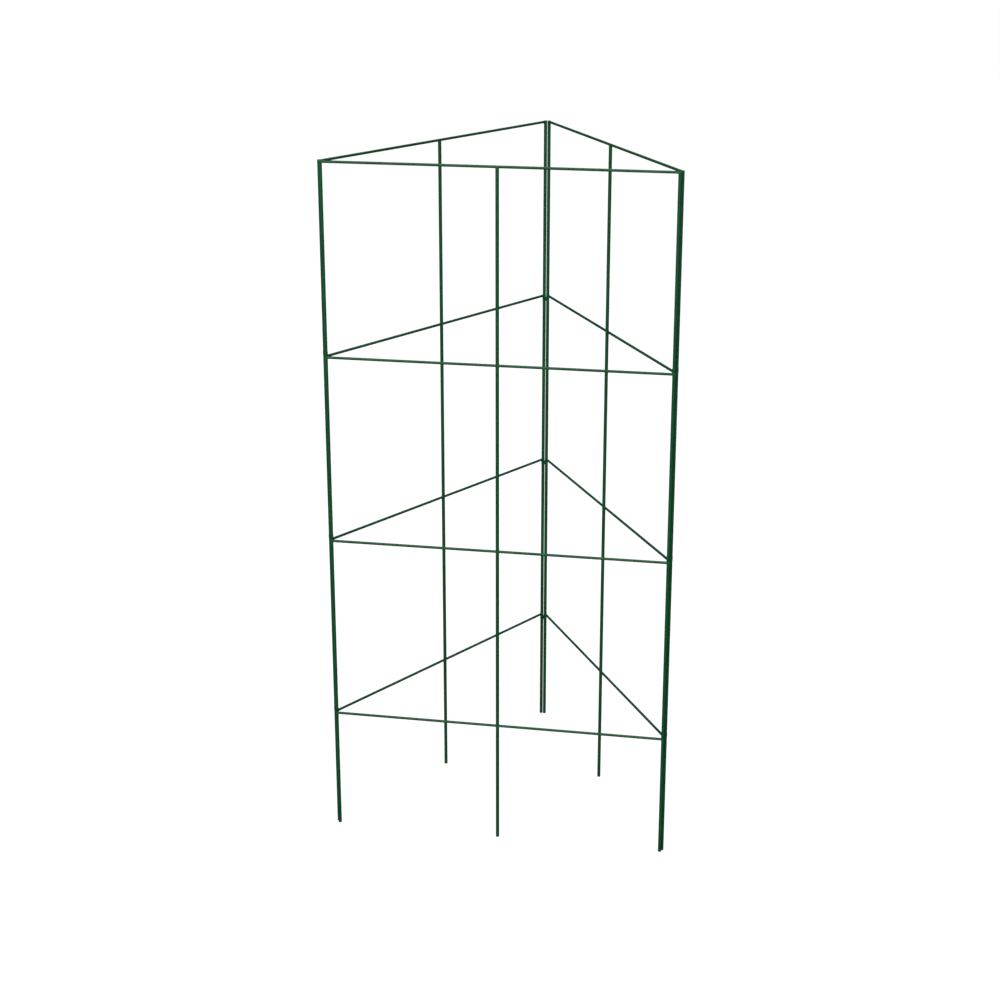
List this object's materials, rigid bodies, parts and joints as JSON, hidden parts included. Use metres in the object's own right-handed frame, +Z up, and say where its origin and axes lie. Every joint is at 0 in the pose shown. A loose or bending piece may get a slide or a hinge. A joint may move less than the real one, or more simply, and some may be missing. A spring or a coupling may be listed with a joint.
{
  "type": "garden obelisk",
  "caption": "Folding triangular wire plant tower: flat welded panels joined edge to edge by hinge bands and snap clips, on plain legs that push into the soil.",
  "frame": {"origin": "on the ground, midway between the front panel and the back corner, on the plane of symmetry", "axes": "+Z up along the legs, +X along the front panel to its right leg, -Y out through the front panel"},
  "size_m": [0.4158, 0.3608, 0.8404],
  "materials": {
    "coated_wire": "dark green powder coat, satin",
    "hinge_sheet": "dark green powder coat, satin"
  },
  "bodies": {
    "front_panel": {"front_panel_left_leg": "coated_wire", "front_panel_middle_leg": "coated_wire", "front_panel_right_leg": "coated_wire", "front_panel_top_rail": "coated_wire", "front_panel_lower_bar_left": "coated_wire", "front_panel_lower_bar_right": "coated_wire", "front_panel_middle_bar_left": "coated_wire", "front_panel_middle_bar_right": "coated_wire", "front_panel_upper_bar_left": "coated_wire", "front_panel_upper_bar_right": "coated_wire"},
    "left_hinge_bands": {"left_hinge_band_lower": "hinge_sheet", "left_hinge_band_middle": "hinge_sheet", "left_hinge_band_upper": "hinge_sheet"},
    "left_panel": {"left_panel_back_leg": "coated_wire", "left_panel_middle_leg": "coated_wire", "left_panel_front_leg": "coated_wire", "left_panel_top_rail": "coated_wire", "left_panel_lower_bar_back": "coated_wire", "left_panel_lower_bar_front": "coated_wire", "left_panel_middle_bar_back": "coated_wire", "left_panel_middle_bar_front": "coated_wire", "left_panel_upper_bar_back": "coated_wire", "left_panel_upper_bar_front": "coated_wire", "back_clip_lower": "hinge_sheet", "back_clip_middle": "hinge_sheet", "back_clip_upper": "hinge_sheet"},
    "right_hinge_bands": {"right_hinge_band_lower": "hinge_sheet", "right_hinge_band_middle": "hinge_sheet", "right_hinge_band_upper": "hinge_sheet"},
    "right_panel": {"right_panel_front_leg": "coated_wire", "right_panel_middle_leg": "coated_wire", "right_panel_back_leg": "coated_wire", "right_panel_top_rail": "coated_wire", "right_panel_lower_bar_front": "coated_wire", "right_panel_lower_bar_back": "coated_wire", "right_panel_middle_bar_front": "coated_wire", "right_panel_middle_bar_back": "coated_wire", "right_panel_upper_bar_front": "coated_wire", "right_panel_upper_bar_back": "coated_wire"}
  },
  "joints": [
    {"name": "left_gate", "type": "hinge", "parent": "front_panel", "child": "left_hinge_bands", "pos_m": [-0.2032, -0.17801, 0], "axis": [0, 0, 1], "range_deg": [0, 90]},
    {"name": "left_fold", "type": "hinge", "parent": "left_hinge_bands", "child": "left_panel", "pos_m": [-0.20555, -0.17394, 0], "axis": [0, 0, -1], "range_deg": [0, 60]},
    {"name": "right_band_turn", "type": "hinge", "parent": "front_panel", "child": "right_hinge_bands", "pos_m": [0.2032, -0.17801, 0], "axis": [0, 0, -1], "range_deg": [0, 150]},
    {"name": "right_fold", "type": "hinge", "parent": "right_hinge_bands", "child": "right_panel", "pos_m": [0.20555, -0.17394, 0], "axis": [0, 0, -1], "range_deg": [0, 150]}
  ],
  "couplings": [
    {"joint": "right_band_turn", "follows": "left_fold", "ratio": 2.5},
    {"joint": "right_fold", "follows": "left_fold", "ratio": 2.5}
  ]
}
